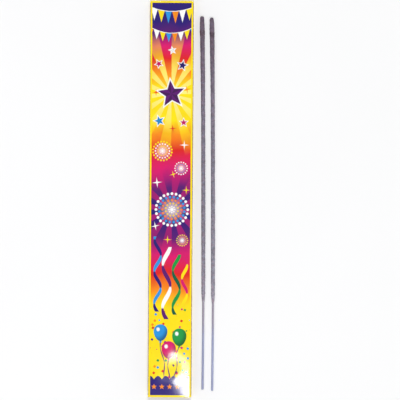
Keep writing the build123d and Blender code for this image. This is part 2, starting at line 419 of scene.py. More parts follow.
sheetPrint = {
    "halfLength": 264.0,
    "fold": 28.8,              # from the middle of the front to the middle of a fold
    "sideEnd": 44.4,           # and to the fold at the back
    "backMiddle": 73.0,        # and to the middle of the back
    "lid": (28.5, 7.3, 300.0),     # half its width, half its height and where its middle is along the map
    "border": 2.7,
    "sideLap": 0.5,            # how far a side's ink comes over the fold to the front
    "soft": 0.25,              # half the blur at a motif's edge, and at a border's
    "borderSoft": 0.12,
    "bandDrift": 14.0,         # how far the bands of colour stray, and how fast across and along
    "driftRate": (0.03, 0.012, 0.0),
    "bands": [(0.0, indigo), (0.05, indigo), (0.085, purple), (0.115, magenta), (0.15, red), (0.185, orange),
              (0.22, yellow), (0.3, yellow), (0.335, orange), (0.375, red), (0.425, magenta), (0.475, purple),
              (0.515, indigo), (0.55, indigo), (0.595, purple), (0.64, magenta), (0.69, red), (0.735, orange),
              (0.775, yellow), (1.0, yellow)],
    "fans": [                  # across, along, wedges, near, far, ink, strength
        (0, 140, 14, 30, 84, yellow, 0.9),
        (0, 140, 14, 10, 52, cream, 0.75),
        (1.5, -14, 12, 16, 74, magenta, 0.55)],
    "bursts": [                # across, along, first ring, step between rings, inks from the middle
        (1.5, -14, 4.0, 4.3, (white, yellow, orange, sky, white)),
        (-11.5, 64, 3.0, 3.2, (white, yellow, white, yellow)),
        (13.5, 41, 2.6, 2.8, (white, sky, white)),
        (15.5, -55, 2.2, 2.5, (white, orange, yellow))],
    "burstDots": (8, 4, 0.2, 0.055),   # dots in the first ring, more in each next, their size and its growth
    "burstGlow": (2.4, 0.8),           # how fast a burst's glow falls off, and its strength
    "burstCore": (0.8, 8, 0.5),        # size of the star in the middle, its rays and its waist
    "streamers": [             # middle, sway, pitch, shift, width, low, high, front, back
        (-17, 4.2, 43.0, 0.0, 5.4, -150, -50, sky, indigo),
        (-5, 5.0, 57.0, 1.9, 6.2, -160, -64, white, purple),
        (8, 4.6, 49.0, 4.4, 5.6, -154, -74, leaf, ink(6, 92, 60)),
        (19, 3.4, 39.0, 3.0, 4.8, -148, -78, yellow, magenta)],
    "balloons": [              # across, along, half width, half height, ink
        (-12.5, -178, 9.0, 11.2, sky), (12.5, -184, 9.4, 11.8, leaf), (-1.5, -201, 9.4, 11.8, magenta)],
    "balloonShade": 0.42,
    "balloonTones": (0.45, 0.86, 0.97),    # shine at which the plain ink starts and ends, and is white
    "knot": (0.6, 2.4, 3, 0.5),        # how far below the balloon, its size, corners and waist
    "string": (0.55, 1.4, 38.0, 1.5),  # lean, sway, pitch and width
    "stars": [                 # across, along, size, turn, rays, waist, ink
        (0, 140, 22.5, 0.1, 5, 0.44, purple), (-17, 180, 7.0, 0.5, 5, 0.45, magenta),
        (14.5, 178, 8.5, -0.2, 5, 0.45, indigo), (-16, 104, 9.0, 0.3, 5, 0.45, sky),
        (16.5, 102, 7.0, 0.0, 5, 0.45, magenta), (1, 198, 6.0, 0.2, 5, 0.45, white),
        (-20.5, 142, 4.6, 0.0, 4, 0.22, red), (20.5, 146, 5.4, 0.2, 4, 0.22, orange),
        (2, 94, 5.0, 0.1, 4, 0.22, red), (17.5, 72, 6.0, 0.0, 4, 0.2, white),
        (-18.5, 22, 6.5, 0.1, 4, 0.2, white), (3, 33, 4.6, 0.3, 4, 0.2, yellow),
        (20.5, 12, 5.2, 0.0, 4, 0.2, yellow), (-20.5, -36, 5.6, 0.2, 4, 0.2, white),
        (-4, -54, 5.0, 0.0, 4, 0.2, yellow)],
    "starRim": (0.5, 0.045),   # width of a white rim, and its growth with the star
    "starShade": 0.55,
    "pennants": [(250.0, 6.0, 17.0, 9.4), (221.0, 8.0, 13.0, 8.1)],     # top, sag, drop, width
    "pennantInks": [(0.0, orange), (0.25, white), (0.5, yellow), (0.75, sky)],
    "footer": (-240.0, 4.5, 10.4),     # height of a scalloped band's edge, depth and width of its scallops
    "footerStars": (10.0, 0.36),       # how far below the edge, and their size as a share of a scallop
    "confettiInks": [(0, red), (0.18, sky), (0.36, magenta), (0.52, leaf), (0.66, orange), (0.84, purple)],
    "confettiFrom": (-132.0, -158.0),  # along the sheet, where the paper dots start and are at their thickest
    "confettiCell": (8.6, 0.6),        # size of a cell and turn of the grid
    "confettiDot": (0.85, 0.4, 0.19, 0.03),    # share of cells filled, its spread, and a dot's size and edge
    "sideInks": [(0, indigo), (0.3, purple), (0.55, indigo), (0.8, purple), (1, indigo)],
    "sideStars": (18.1, 3.6),  # pitch and size
    "lidStars": (11.2, 3.1),
    "backStars": (11.6, 2.3),
}


def printOver(tree, colour, over, inside, soft=sheetPrint["soft"]):
    # prints a motif over a colour, with an edge that is as soft as a screen print's
    return paint(tree, colour, over, between(tree, inside, -soft, soft))


def starAt(tree, point, x, y, size, turn=0, rays=5, waist=0.45):
    return useGroup(tree, starShape, Point=point, Centre=(x, y, 0), Size=size, Turn=turn, Rays=rays,
                    Waist=waist)


def printConfetti(tree, colour, point, along):
    # a square of paper in some of the cells of a scattered grid
    s = sheetPrint
    cell, turn = s["confettiCell"]
    filled, spread, largest, edge = s["confettiDot"]
    amount = between(tree, along, *s["confettiFrom"], 0.0, filled)
    place = addNode(tree, "VectorRotate", {"Vector": point, "Angle": turn}, rotation_type="Z_AXIS").outputs[0]
    cells = addNode(tree, "TexVoronoi", {"Vector": place, "Scale": 1 / cell}, distance="CHEBYCHEV",
                    voronoi_dimensions="2D").outputs
    hue, chance, _ = addNode(tree, "SeparateColor", {0: cells["Color"]}).outputs
    size = between(tree, minus(tree, amount, chance), 0, spread, 0, largest)
    inside = minus(tree, size, cells["Distance"])
    paper = ramp(tree, hue, s["confettiInks"], "CONSTANT")
    return paint(tree, colour, paper, between(tree, inside, 0.0, edge))


def printBurst(tree, colour, point, x, y, first, step, inks):
    # rings of dots that grow outwards, round a bright core
    s = sheetPrint
    count, more, dot, growth = s["burstDots"]
    power, strength = s["burstGlow"]
    centre = (x, y, 0)
    glow = between(tree, polar(tree, point, centre)[0], first + step * len(inks), 0)
    colour = paint(tree, colour, inks[0], times(tree, calc(tree, "POWER", glow, power), strength))
    for i, over in enumerate(inks):
        ring = useGroup(tree, dotRing, Point=point, Centre=centre, Radius=first + i * step,
                        Dot=step * (dot + growth * i), Count=count + more * i, Shift=0.5 * (i % 2))
        colour = printOver(tree, colour, over, ring["Inside"])
    size, rays, waist = s["burstCore"]
    core = starAt(tree, point, x, y, first * size, rays=rays, waist=waist)
    return printOver(tree, colour, inks[0], core["Inside"])


def printBalloon(tree, colour, point, across, along, x, y, width, height, over):
    # a shaded egg with its knot, on a thin string that leans and sways down to the footer
    s = sheetPrint
    low, top = s["footer"][0], y - height
    lean, sway, pitch, thin = s["string"]
    slope = x * lean / (top - low)
    slid = timesPlus(tree, along, -slope, plus(tree, across, slope * top))
    string = useGroup(tree, streamer, Point=joined(tree, slid, along), Middle=x, Sway=sway, Pitch=pitch,
                      Shift=-2 * np.pi * top / pitch, Width=thin, Low=low, High=top)
    colour = printOver(tree, colour, purple, string["Inside"])
    drop, size, corners, waist = s["knot"]
    knot = starAt(tree, point, x, top - drop, size, rays=corners, waist=waist)
    colour = printOver(tree, colour, over, knot["Inside"])
    egg = useGroup(tree, balloon, Point=point, Centre=(x, y, 0), Width=width, Height=height)
    tones = (darker(over, s["balloonShade"]), over, over, white)
    stops = list(zip((0.0, *s["balloonTones"]), tones))
    return printOver(tree, colour, ramp(tree, egg["Shine"], stops), egg["Inside"])


def printStar(tree, colour, point, x, y, size, turn, rays, waist, over):
    # a twinkle of four rays is plain, a star of five has a white rim and two tones
    star = starAt(tree, point, x, y, size, turn, rays, waist)
    if rays == 4:
        return printOver(tree, colour, over, star["Inside"])
    rim, growth = sheetPrint["starRim"]
    colour = printOver(tree, colour, white, star["Inside"])
    tones = paint(tree, darker(over, sheetPrint["starShade"]), over, star["Facet"])
    return printOver(tree, colour, tones, minus(tree, star["Inside"], rim + size * growth))


def again(tree, value, pitch):
    # a coordinate that repeats, and is 0 in the middle of each repeat
    return calc(tree, "WRAP", value, pitch / 2, -pitch / 2)


def printStars(tree, colour, over, x, y, size):
    # a plain star wherever both coordinates pass 0
    return printOver(tree, colour, over, starAt(tree, joined(tree, x, y), 0, 0, size)["Inside"])


def frontPrint(tree, point, across, along):
    # bands of colour with the motifs over them, the lowest first
    s = sheetPrint
    drift = noise(tree, calcVector(tree, "MULTIPLY", point, s["driftRate"]), 1.0)
    shifted = plus(tree, along, between(tree, drift, 0, 1, -s["bandDrift"], s["bandDrift"]))
    colour = ramp(tree, between(tree, shifted, s["halfLength"], -s["halfLength"]), s["bands"])
    for x, y, wedges, near, far, over, strength in s["fans"]:
        fan = useGroup(tree, rayFan, Point=point, Centre=(x, y, 0), Wedges=wedges, Near=near, Far=far)
        colour = paint(tree, colour, over, times(tree, fan["Ray"], strength))
    colour = printConfetti(tree, colour, point, along)
    for burst in s["bursts"]:
        colour = printBurst(tree, colour, point, *burst)
    for middle, sway, pitch, shift, width, low, high, front, back in s["streamers"]:
        ribbon = useGroup(tree, streamer, Point=point, Middle=middle, Sway=sway, Pitch=pitch, Shift=shift,
                          Width=width, Low=low, High=high)
        colour = printOver(tree, colour, paint(tree, back, front, ribbon["Face"]), ribbon["Inside"])
    for egg in s["balloons"]:
        colour = printBalloon(tree, colour, point, across, along, *egg)
    for star in s["stars"]:
        colour = printStar(tree, colour, point, *star)

    # scalloped footer with a row of stars: its edge is a sine with the lower halves turned up
    edge, depth, pitch = s["footer"]
    arch = absolute(tree, sine(tree, times(tree, across, np.pi / pitch)))
    colour = printOver(tree, colour, indigo, minus(tree, timesPlus(tree, arch, depth, edge), along))
    below, size = s["footerStars"]
    upFooter = minus(tree, along, edge - below)
    colour = printStars(tree, colour, orange, again(tree, across, pitch), upFooter, pitch * size)

    for top, sag, drop, width in s["pennants"]:
        row = useGroup(tree, pennants, Point=point, Top=top, Sag=sag, Drop=drop, Width=width, Span=s["fold"])
        pick = fract(tree, times(tree, row["Number"], 1 / len(s["pennantInks"])))
        colour = printOver(tree, colour, ramp(tree, pick, s["pennantInks"], "CONSTANT"), row["Inside"])
        colour = paint(tree, colour, white, row["Cord"])
    return colour


def sheetColour(tree, point):
    # the print of every face of the carton, each inside a plain border
    s = sheetPrint
    across, along, _ = parts(tree, point)
    wide = absolute(tree, across)

    def inset(half, value):
        return minus(tree, half - s["border"], value)

    # front
    toEnd = inset(s["halfLength"], absolute(tree, along))
    faces = [(frontPrint(tree, point, across, along), least(tree, inset(s["fold"], wide), toEnd))]

    # sides: a deep band with a row of stars, and a border only next to the ends and the back
    pitch, size = s["sideStars"]
    side = ramp(tree, between(tree, along, -s["halfLength"], s["halfLength"]), s["sideInks"])
    fromMiddle = minus(tree, wide, (s["fold"] + s["sideEnd"]) / 2)
    side = printStars(tree, side, yellow, fromMiddle, again(tree, along, pitch), size)
    pastFold = minus(tree, wide, s["fold"] - s["sideLap"])
    faces.append((side, least(tree, pastFold, least(tree, inset(s["sideEnd"], wide), toEnd))))

    # lids: the same
    lidWide, lidTall, lidAt = s["lid"]
    pitch, size = s["lidStars"]
    upLid = timesPlus(tree, calc(tree, "SIGN", along), -lidAt, along)
    lid = printStars(tree, indigo, yellow, again(tree, across, pitch), upLid, size)
    faces.append((lid, least(tree, inset(lidWide, wide), inset(lidTall, absolute(tree, upLid)))))

    # back: scattered stars
    pitch, size = s["backStars"]
    fromMiddle = minus(tree, wide, s["backMiddle"])
    back = printStars(tree, yellow, orange, again(tree, fromMiddle, pitch), again(tree, along, pitch), size)
    toSide = inset(s["backMiddle"] - s["sideEnd"], absolute(tree, fromMiddle))
    faces.append((back, least(tree, toSide, toEnd)))

    colour = yellow
    for design, inside in faces:
        colour = printOver(tree, colour, design, inside, s["borderSoft"])
    return colour


# Card and glue

cardLook = {
    "unprinted": ink(236, 233, 226),   # bare card past the bleed of a flap
    "bleedEdge": (0.45, 0.55),         # values of inked where the print starts and is whole
    "rubbed": ink(232, 226, 214),
    "rubbing": (900.0, 0.85, 0.8),     # scale, strength and roughness of rubbed places
    "grain": {"Coarse": 1500.0, "Fine": 5200.0, "Mottle": 60.0},
    "fade": (0.94, 1.04),
    "gloss": (0.5, 0.62),
    "varnish": {"Specular IOR Level": 0.1, "Coat Weight": 0.8, "Coat Roughness": 0.07},
    "bump": (0.12, 0.00002),
}
boardLook = {
    "inks": [(0, ink(196, 190, 178)), (0.5, ink(212, 207, 196)), (1, ink(224, 220, 210))],
    "cloud": (ink(202, 196, 182), 0.35),
    "grain": {"Coarse": 1100.0, "Fine": 4200.0, "Mottle": 90.0},
    "roughness": 0.85,
    "bump": (0.35, 0.00005),
}
glueLook = {
    "inks": [(0, ink(222, 214, 190)), (1, ink(238, 232, 214))],
    "grain": {"Coarse": 500.0, "Fine": 2000.0, "Mottle": 80.0},
    "roughness": 0.45,
    "bump": (0.3, 0.00004),
}


def printedCardMaterial():
    # glossy varnished print outside, which cracks to bare board along the folds
    look = cardLook
    material, tree, body = newMaterial("printedCard")
    colour = sheetColour(tree, addNode(tree, "UVMap", uv_map="sheetMap").outputs["UV"])
    inked = between(tree, pointValue(tree, "inked"), *look["bleedEdge"])
    colour = paint(tree, look["unprinted"], colour, inked)
    scale, strength, dull = look["rubbing"]
    rubbed = useGroup(tree, scuff, Point=body, Wear=pointValue(tree, "wear"), Scale=scale)["Mask"]
    fibre = useGroup(tree, grain, Point=body, **look["grain"])
    colour = paint(tree, colour, look["rubbed"], times(tree, rubbed, strength))
    colour = scaled(tree, colour, between(tree, fibre["Cloud"], 0, 1, *look["fade"]))
    gloss = between(tree, fibre["Cloud"], 0, 1, *look["gloss"])
    roughness = most(tree, gloss, times(tree, rubbed, dull))
    inputs = {"Base Color": colour, "Roughness": roughness, **look["varnish"]}
    setShader(tree, inputs, fibre["Speckle"], look["bump"])
    return material


def bareBoardMaterial():
    # uncoated grey-white inside and cut edges, with fibres
    look = boardLook
    material, tree, body = newMaterial("bareBoard")
    fibre = useGroup(tree, grain, Point=body, **look["grain"])
    tint, strength = look["cloud"]
    colour = ramp(tree, fibre["Speckle"], look["inks"])
    colour = paint(tree, colour, tint, times(tree, fibre["Cloud"], strength))
    setShader(tree, {"Base Color": colour, "Roughness": look["roughness"]}, fibre["Speckle"], look["bump"])
    return material


def seamGlueMaterial():
    # a dried film of adhesive, cloudy and a little yellow
    look = glueLook
    material, tree, body = newMaterial("seamGlue")
    cloud = useGroup(tree, grain, Point=body, **look["grain"])
    colour = ramp(tree, cloud["Cloud"], look["inks"])
    setShader(tree, {"Base Color": colour, "Roughness": look["roughness"]}, cloud["Speckle"], look["bump"])
    return material


printedCard, bareBoard, seamGlue = printedCardMaterial(), bareBoardMaterial(), seamGlueMaterial()
print("card done,", len(printedCard.node_tree.nodes), "nodes in its print")


# Carton sleeve

sleeve = {
    "columnsPerMm": 0.55,
    "foldColumns": 7,
    "rows": 190,
    "endRows": 6,            # rows from the bevel at either end to endZone
    "endZone": 4.0,
    "glueSlant": 0.38,       # how far the glue flap's ends slant, as a share of its width
    "crown": {"right": 0.1, "front": 0.35, "left": 0.55, "back": -0.1, "glue": 0.0},   # bulge of each panel
    "crownEnds": 0.7,        # power of the half wave along it: the lower, the fuller the bulge near the ends
    "wave": 0.07,            # how uneven the card lies, with its waves' length and number
    "waveLength": 46.0,
    "waves": 14,
    "waveAtFold": 0.25,      # what is left of the waves at a fold
    "foldWear": 0.75,        # how far wear reaches from a fold
    "endWear": (0.9, 0.8),   # wear at a cut end, and how far it reaches
    "seed": 7,
}


def roundedPath(corners, radius, columnsPerMm, foldColumns):
    # straight stretches with a quarter circle at each square corner between them;
    # returns the points, their outward normals, the distance along and the stretch's number and share
    run = np.diff(corners, axis=0)
    ways = run / np.linalg.norm(run, axis=1)[:, None]
    points, normals, numbers, shares = [], [], [], []
    last = len(ways) - 1
    for i, way in enumerate(ways):
        start = corners[i] + way * radius * (i > 0)
        end = corners[i + 1] - way * radius * (i < last)
        count = max(3, int(np.linalg.norm(end - start) / mm * columnsPerMm))
        share = np.linspace(0, 1, count)
        points.append(start + share[:, None] * (end - start))
        normals.append(np.repeat([[way[1], -way[0]]], count, axis=0))
        numbers.append(np.full(count, float(i)))
        shares.append(share)
        if i < last:
            turn = np.linspace(0, np.pi / 2, foldColumns + 2)[1:-1, None]
            outward = -ways[i + 1] * np.cos(turn) + way * np.sin(turn)
            points.append(end + ways[i + 1] * radius + radius * outward)
            normals.append(outward)
            numbers.append(i + turn[:, 0] / (np.pi / 2))
            shares.append(np.zeros(foldColumns))
    points = np.concatenate(points)
    gone = np.concatenate([[0], np.cumsum(np.linalg.norm(np.diff(points, axis=0), axis=1))])
    return points, np.concatenate(normals), gone, np.concatenate(numbers), np.concatenate(shares)


def creaseBevel(half, gap, foldIn):
    # where a flap folds in past square, the inner corner of the card that carries it gives way:
    # the bevel's length along that card and its depth, which clear the flap at its limit
    clear = half + gap
    angle = np.radians(90 - foldIn)
    along = (clear + half * np.cos(angle)) / np.sin(angle) - clear
    return along, half + clear * (1 - np.sin(angle)) / np.cos(angle)


def foldLimit(joint):
    # the larger end of a joint's range, in degrees
    return max(abs(end) for end in joints[joint]["range_deg"])


def cardSleeve():
    # the card's outer face, carried along the carton: its section is a rounded path from the cut edge of the
    # right panel round front, left and back to the glue flap, and each column of it has its own length
    s = sleeve
    panels = ("front_panel", "back_panel", "left_side_panel", "right_side_panel", "glue_flap")
    front, back, left, right, glue = (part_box(panel) for panel in panels)
    board = front[1].z - front[0].z
    corners = np.array([(right[1].x, right[0].z), (right[1].x, front[1].z), (left[0].x, front[1].z),
                        (left[0].x, back[0].z), (glue[1].x, back[0].z), (glue[1].x, glue[1].z)])
    path, normals, gone, number, share = roundedPath(corners, front[0].x - left[0].x, s["columnsPerMm"],
                                                     s["foldColumns"])
    reach = np.interp(number, np.arange(5), [panel[1].y for panel in (right, front, left, back, glue)])
    reach = reach - (number == 4) * share * (glue[1].z - glue[0].z) * s["glueSlant"]

    # rows, closer together near the ends, with one where the bevel of the side panels starts
    crease = joints["top_dust_flap_left_crease"]
    gap = crease["pos_m"][1] - board / 2 - left[1].y
    bevel, depth = creaseBevel(board / 2, gap, foldLimit(crease["name"]))
    fine = 1 - np.array([0.0, bevel, *np.linspace(2 * bevel, s["endZone"] * mm, s["endRows"])]) / left[1].y
    middle = np.linspace(-fine[-1], fine[-1], s["rows"])
    rows = np.concatenate([-fine[:-1], middle, fine[:-1][::-1]])
    y = rows[:, None] * reach[None, :]
    across = gone[None, :] + 0 * y

    # each panel bulges as a half sine across it and along it, and the whole sheet is a little uneven
    inPanel = np.sin(np.pi * share)
    crown = np.array(list(s["crown"].values()))[number.astype(int)] * inPanel
    bulge = crown[None, :] * np.cos(rows[:, None] * np.pi / 2) ** s["crownEnds"]
    window = (s["waveAtFold"] + (1 - s["waveAtFold"]) * inPanel) * (number < 3)
    waves = slowWaves(across / mm, y / mm, s["waveLength"], s["waves"], s["seed"])
    out = (bulge + s["wave"] * waves * window[None, :]) * mm
    x = path[None, :, 0] + normals[None, :, 0] * out
    z = path[None, :, 1] + normals[None, :, 1] * out
    points = np.stack([x, y, z], axis=-1)

    # flat sheet map in millimetres, and wear along folds and cut ends
    centre = gone[number == 1].mean()
    sheetMap = np.stack([(centre - across) / mm, y / mm], axis=-1)
    folds = [gone[(number > i) & (number < i + 1)].mean() for i in range(4)]
    toFold = np.min([np.abs(across - fold) for fold in folds], axis=0) / mm
    toEnd = (reach[None, :] - np.abs(y)) / mm
    atEnd, fall = s["endWear"]
    wear = np.maximum(np.exp(-(toFold / s["foldWear"]) ** 2), atEnd * np.exp(-toEnd / fall))
    quads = gridFaces(*y.shape)[:, [0, 3, 2, 1]]
    mesh = makeMesh("carton_sleeve", points, quads, sheetMap=sheetMap,
                    values={"wear": wear, "inked": np.ones_like(wear)})
    piece = addPiece(mesh, [printedCard, bareBoard], "carton", panels)
    thick = piece.modifiers.new("board", "SOLIDIFY")
    thick.thickness = board
    thick.offset = -1.0
    thick.use_even_offset = True
    thick.use_quality_normals = True
    thick.material_offset = 1
    thick.material_offset_rim = 1

    # the card is thinner at the end rows of the side panels, where the dust flaps fold in
    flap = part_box("top_dust_flap_left")
    beside = ((number == 0) | (number == 2)) & (path[:, 1] > flap[0].z - mm) & (path[:, 1] < flap[1].z + mm)
    ends = np.flatnonzero(beside)
    ends = np.concatenate([ends, ends + (len(rows) - 1) * len(path)])
    whole = piece.vertex_groups.new(name="thickness")
    whole.add(list(range(y.size)), 1.0, "REPLACE")
    whole.add(ends.tolist(), 1 - depth / board, "REPLACE")
    thick.vertex_group = whole.name
    return board


board = cardSleeve()
frame["nodes"]["seam_glue_line"].data.materials.clear()
frame["nodes"]["seam_glue_line"].data.materials.append(seamGlue)
print("sleeve done, card", round(board / mm, 2), "mm")


# Tuck closures

closure = {
    "lidBow": 0.12,            # how far the middle of a lid stands out
    "tongueReach": 9.0,
    "tongueLean": 18.0,
    "tongueCorner": 6.0,
    "tongueCurl": -0.10,
    "lockSlit": 6.0,
    "slitWidth": 0.3,
    "flapReach": 16.0,
    "flapTaper": 1.4,
    "flapCorner": 3.5,
    "flapCurl": -0.25,
    "bleed": 4.0,              # how far print runs onto a tongue or dust flap
    "tongueMap": 320.0,        # where its crease lies along the sheet's map, past all motifs
    "flapMap": 340.0,
    "edge": 0.07,              # blunted corner of a cut edge
    "sharp": 40.0,
    "creaseWear": 0.7,         # how far wear reaches from a crease
    "edgeWear": (0.8, 0.6),    # wear at a cut edge, and how far it reaches
    "steps": 12,
    "rootSteps": 7,
    "columns": {"lid": 41, "corner": 15, "tongue": 16, "flap": 8},
}


def roundedEnd(across, half, reach, corner):
    # how far a flap reaches at each place across it: straight, with a quarter circle at either corner
    past = np.clip(np.abs(across) - (half - corner), 0, corner)
    return reach - corner + np.sqrt(corner ** 2 - past ** 2)


def cardFlap(name, across, start, end, place, mapAt, draw=0.0, curl=0.0, bow=0.0, bleed=None,
             bevel=(0.0, 0.0)):
    # a closed section, half round at the crease and blunt at the cut edge, at each place across the flap.
    # place is the middle of the crease with the directions across, out from it and to the printed side,
    # mapAt is where the crease lies along the sheet's map, and bevel is the length and depth that is
    # taken off the inner corner of the cut edge.
    s = closure
    origin, sideways, outwards, printed = (np.array(v, float) for v in place)
    h = board / mm / 2
    n = s["steps"]
    share = np.linspace(0, 1, n)[None, :]
    first, far, across = start[:, None], end[:, None], across[:, None]
    inset, depth = np.maximum(bevel, s["edge"])
    edge = min(s["edge"], h - depth / 2)
    outer = first + share * (far - edge - first)
    inner = first + share * (far - inset - first)
    root = np.linspace(0, np.pi, s["rootSteps"])[None, 1:-1]
    reach = np.concatenate([outer, far, far, inner[:, ::-1], first - h * np.sin(root)], axis=1)
    ones, one = np.ones_like(outer), np.ones_like(far)
    lift = np.concatenate([ones * h, one * (h - edge), one * (depth - h), -ones * h,
                           -h * np.cos(root) + 0 * first], axis=1)

    # towards the cut edge it narrows evenly and curls as a square, and its middle bows as a half sine
    width = np.abs(across).max()
    out = np.clip(reach / end.max(), 0, 1)
    aside = across * (1 - draw / width * out)
    lift += curl * out ** 2 + bow * np.sin(np.pi * out) * np.cos(np.pi / 2 * across / width)
    moves = zip((aside, reach, lift), (sideways, outwards, printed))
    points = origin + sum(amount[..., None] * way for amount, way in moves) * mm
    cols, loop = reach.shape
    quads, caps = loopFaces(cols, loop, turnOver=np.dot(np.cross(sideways, outwards), printed) > 0)

    # print on the outer face, bare board on the rest
    spot = np.concatenate([np.tile(np.arange(loop), cols - 1), [n, n]])
    finish = np.where(spot < n - 1, 0, 1)
    toCut = np.clip(np.minimum(far - reach, width - np.abs(across)), 0, None)
    atCut, fall = s["edgeWear"]
    wear = np.maximum(np.exp(-np.abs(reach) / s["creaseWear"]), atCut * np.exp(-toCut / fall))
    inked = np.ones_like(reach) if bleed is None else 0.5 + bleed - reach
    sheetMap = np.stack([aside, mapAt + reach], axis=-1)
    values = {"wear": wear, "inked": inked}
    mesh = makeMesh(name + "_card", points, quads, caps, sheetMap, values, finish, s["sharp"])
    addPiece(mesh, [printedCard, bareBoard], name, [name])


def tuckEnd(end, sign):
    # the four flaps of one end, with sign +1 at the heads' end and -1 at the other
    s, columns = closure, closure["columns"]
    card = board / mm
    lidBox, tongueBox, flapBox = (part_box(f"{end}_{flap}") for flap in ("lid", "tongue", "dust_flap_left"))
    lidAxis = joints[end + "_lid_hinge"]["pos_m"]
    tongueAxis = joints[end + "_tongue_crease"]["pos_m"]
    half = lidBox[1].x / mm
    across = np.linspace(-half, half, columns["lid"])
    level = np.zeros_like(across)
    reach = (lidBox[1].z - lidAxis[2]) / mm
    gap = (tongueAxis[2] - lidBox[1].z) / mm - card / 2
    bevel = creaseBevel(card / 2, gap, s["tongueLean"] + foldLimit(end + "_tongue_crease"))
    place = (lidAxis, (1, 0, 0), (0, 0, 1), (0, sign, 0))
    cardFlap(end + "_lid", across, level, level + reach, place, sign * sheetPrint["lid"][2] - reach / 2,
             bow=s["lidBow"], bevel=bevel)

    # the tongue's root steps back at either side, past a lock slit
    half = tongueBox[1].x / mm
    bend = np.linspace(-np.pi / 2, np.pi / 2, columns["corner"])
    corner = half - s["tongueCorner"] + s["tongueCorner"] * np.sin(bend[bend > 0])
    inner = half - s["lockSlit"]
    across = np.concatenate([np.linspace(0, inner, columns["tongue"]), [inner + s["slitWidth"] / 2],
                             np.linspace(inner + s["slitWidth"], corner[0], 2), corner[1:]])
    across = np.unique(np.concatenate([-across, across]).round(6))
    start = (card + s["slitWidth"]) * np.clip((np.abs(across) - inner) / s["slitWidth"], 0, 1)
    far = roundedEnd(across, half, s["tongueReach"], s["tongueCorner"])
    lean = np.radians(s["tongueLean"])
    outwards = (0, -sign * np.cos(lean), -np.sin(lean))
    printed = (0, -sign * np.sin(lean), np.cos(lean))
    cardFlap(end + "_tongue", across, start, far, (tongueAxis, (1, 0, 0), outwards, printed),
             sign * s["tongueMap"], curl=s["tongueCurl"], bleed=s["bleed"])

    # the dust flaps stand upright, each on a crease at its side
    half = (flapBox[1].z - flapBox[0].z) / 2 / mm
    middle = (flapBox[1].z + flapBox[0].z) / 2
    corner = half - s["flapCorner"] + s["flapCorner"] * np.sin(bend[bend >= 0])
    across = np.concatenate([-corner, np.linspace(-corner[0], corner[0], columns["flap"]), corner])
    across = np.unique(across.round(6))
    level = np.zeros_like(across)
    far = roundedEnd(across, half, s["flapReach"], s["flapCorner"])
    for side, way in (("left", 1), ("right", -1)):
        name = f"{end}_dust_flap_{side}"
        axis = joints[name + "_crease"]["pos_m"]
        place = ((axis[0], axis[1], middle), (0, 0, 1), (way, 0, 0), (0, sign, 0))
        cardFlap(name, across, level, far, place, sign * s["flapMap"], draw=s["flapTaper"],
                 curl=s["flapCurl"], bleed=s["bleed"])


for end, sign in (("top", 1), ("bottom", -1)):
    tuckEnd(end, sign)
print("closures done")


# Sparklers

sparkler = {
    "wireRadius": 1.5,
    "tipCover": 2.0,           # coat past the buried end of the wire
    "length": 500.0,
    "coatLength": 383.5,
    "radii": [                 # place from the tip and radius there, from the round tip to the run-out
        (2.1, 2.62), (5.5, 2.88), (11.0, 3.1), (18.4, 3.19), (21.0, 3.42), (23.4, 3.22), (36.0, 3.07),
        (60.0, 2.9), (88.0, 2.75), (118.0, 2.65), (200.0, 2.63), (290.0, 2.66), (345.0, 2.54), (371.0, 2.5)],
    "poleAngle": 0.12,         # how far from its pole the rings of the round tip start
    "tipRows": (5, 110),       # fewest rings on the round tip, and how many rings of the coat go with each
    "tailCrown": 0.05,         # bulge of the run-out onto the wire
    "tailFade": (6.0, 0.15),   # how far from its end the coat gets smoother, and what is left of its lumps
    "lump": (0.075, 2.6),      # spread of the uneven thickness, and its length
    "grit": (0.085, 0.4),      # spread of the grains, and their size
    "most": 0.19,              # no lump or hollow is more than this
    "blunt": 0.25,             # filed corner at the wire's cut end
    "drawn": (0.006, 2.0, 1.0),        # spread of the wire's draw marks, and their size in rings and columns
    "hidden": (8.0, 20.0, 24),         # rings of the hidden wire: from its end, to the coat's, and how many
    "shownFrom": 14.0,         # how far inside the coat the close rings of the wire start
    "sharp": 60.0,
    "loose": {"rows": 1440, "sides": 60, "wireRows": 90, "wireSides": 28, "bow": 1.4, "rough": 1.0,
              "floor": 0.02, "seed": 40},      # floor is the least height over what it lies on
    "boxed": {"rows": 360, "sides": 26, "wireRows": 30, "wireSides": 20, "bow": 0.0, "rough": 0.4,
              "floor": 0.12, "seed": 100},
}
coatLook = {
    # the darker stops from 0.052 to 0.066, just under the drip ring 21 mm from the tip, are painted shade
    "inks": [(0.0, ink(102, 86, 101)), (0.045, ink(107, 94, 110)), (0.052, ink(95, 78, 88)),
             (0.066, ink(97, 80, 91)), (0.08, ink(105, 91, 105)), (0.2, ink(115, 104, 120)),
             (0.33, ink(124, 116, 131)), (0.6, ink(130, 125, 139)), (0.82, ink(138, 133, 146)),
             (0.97, ink(150, 145, 159)), (1.0, ink(154, 147, 160))],     # along the coat
    "grain": {"Coarse": 1300.0, "Fine": 3800.0, "Mottle": 230.0},
    "speckle": (0.45, 1.5),    # darkest and lightest, as shares of the ink
    "cloud": (0.78, 1.22),
    "tints": ((1.11, 0.97, 0.97, 1.0), (0.91, 1.02, 1.04, 1.0)),
    "tintNoise": ((0.3, 0.1, 0.2), 330.0, 3.0),      # shift, scale and detail
    "tintLevels": (0.35, 0.65),
    "fleck": (1500.0, 0.93, 0.3, 0.2),     # scale, share of plain cells, and a fleck's outer and inner edge
    "fleckInk": ink(196, 192, 200),
    "roughness": (0.86, 0.4),  # of the slurry and of a fleck
    "bump": (0.7, 0.0002),
}
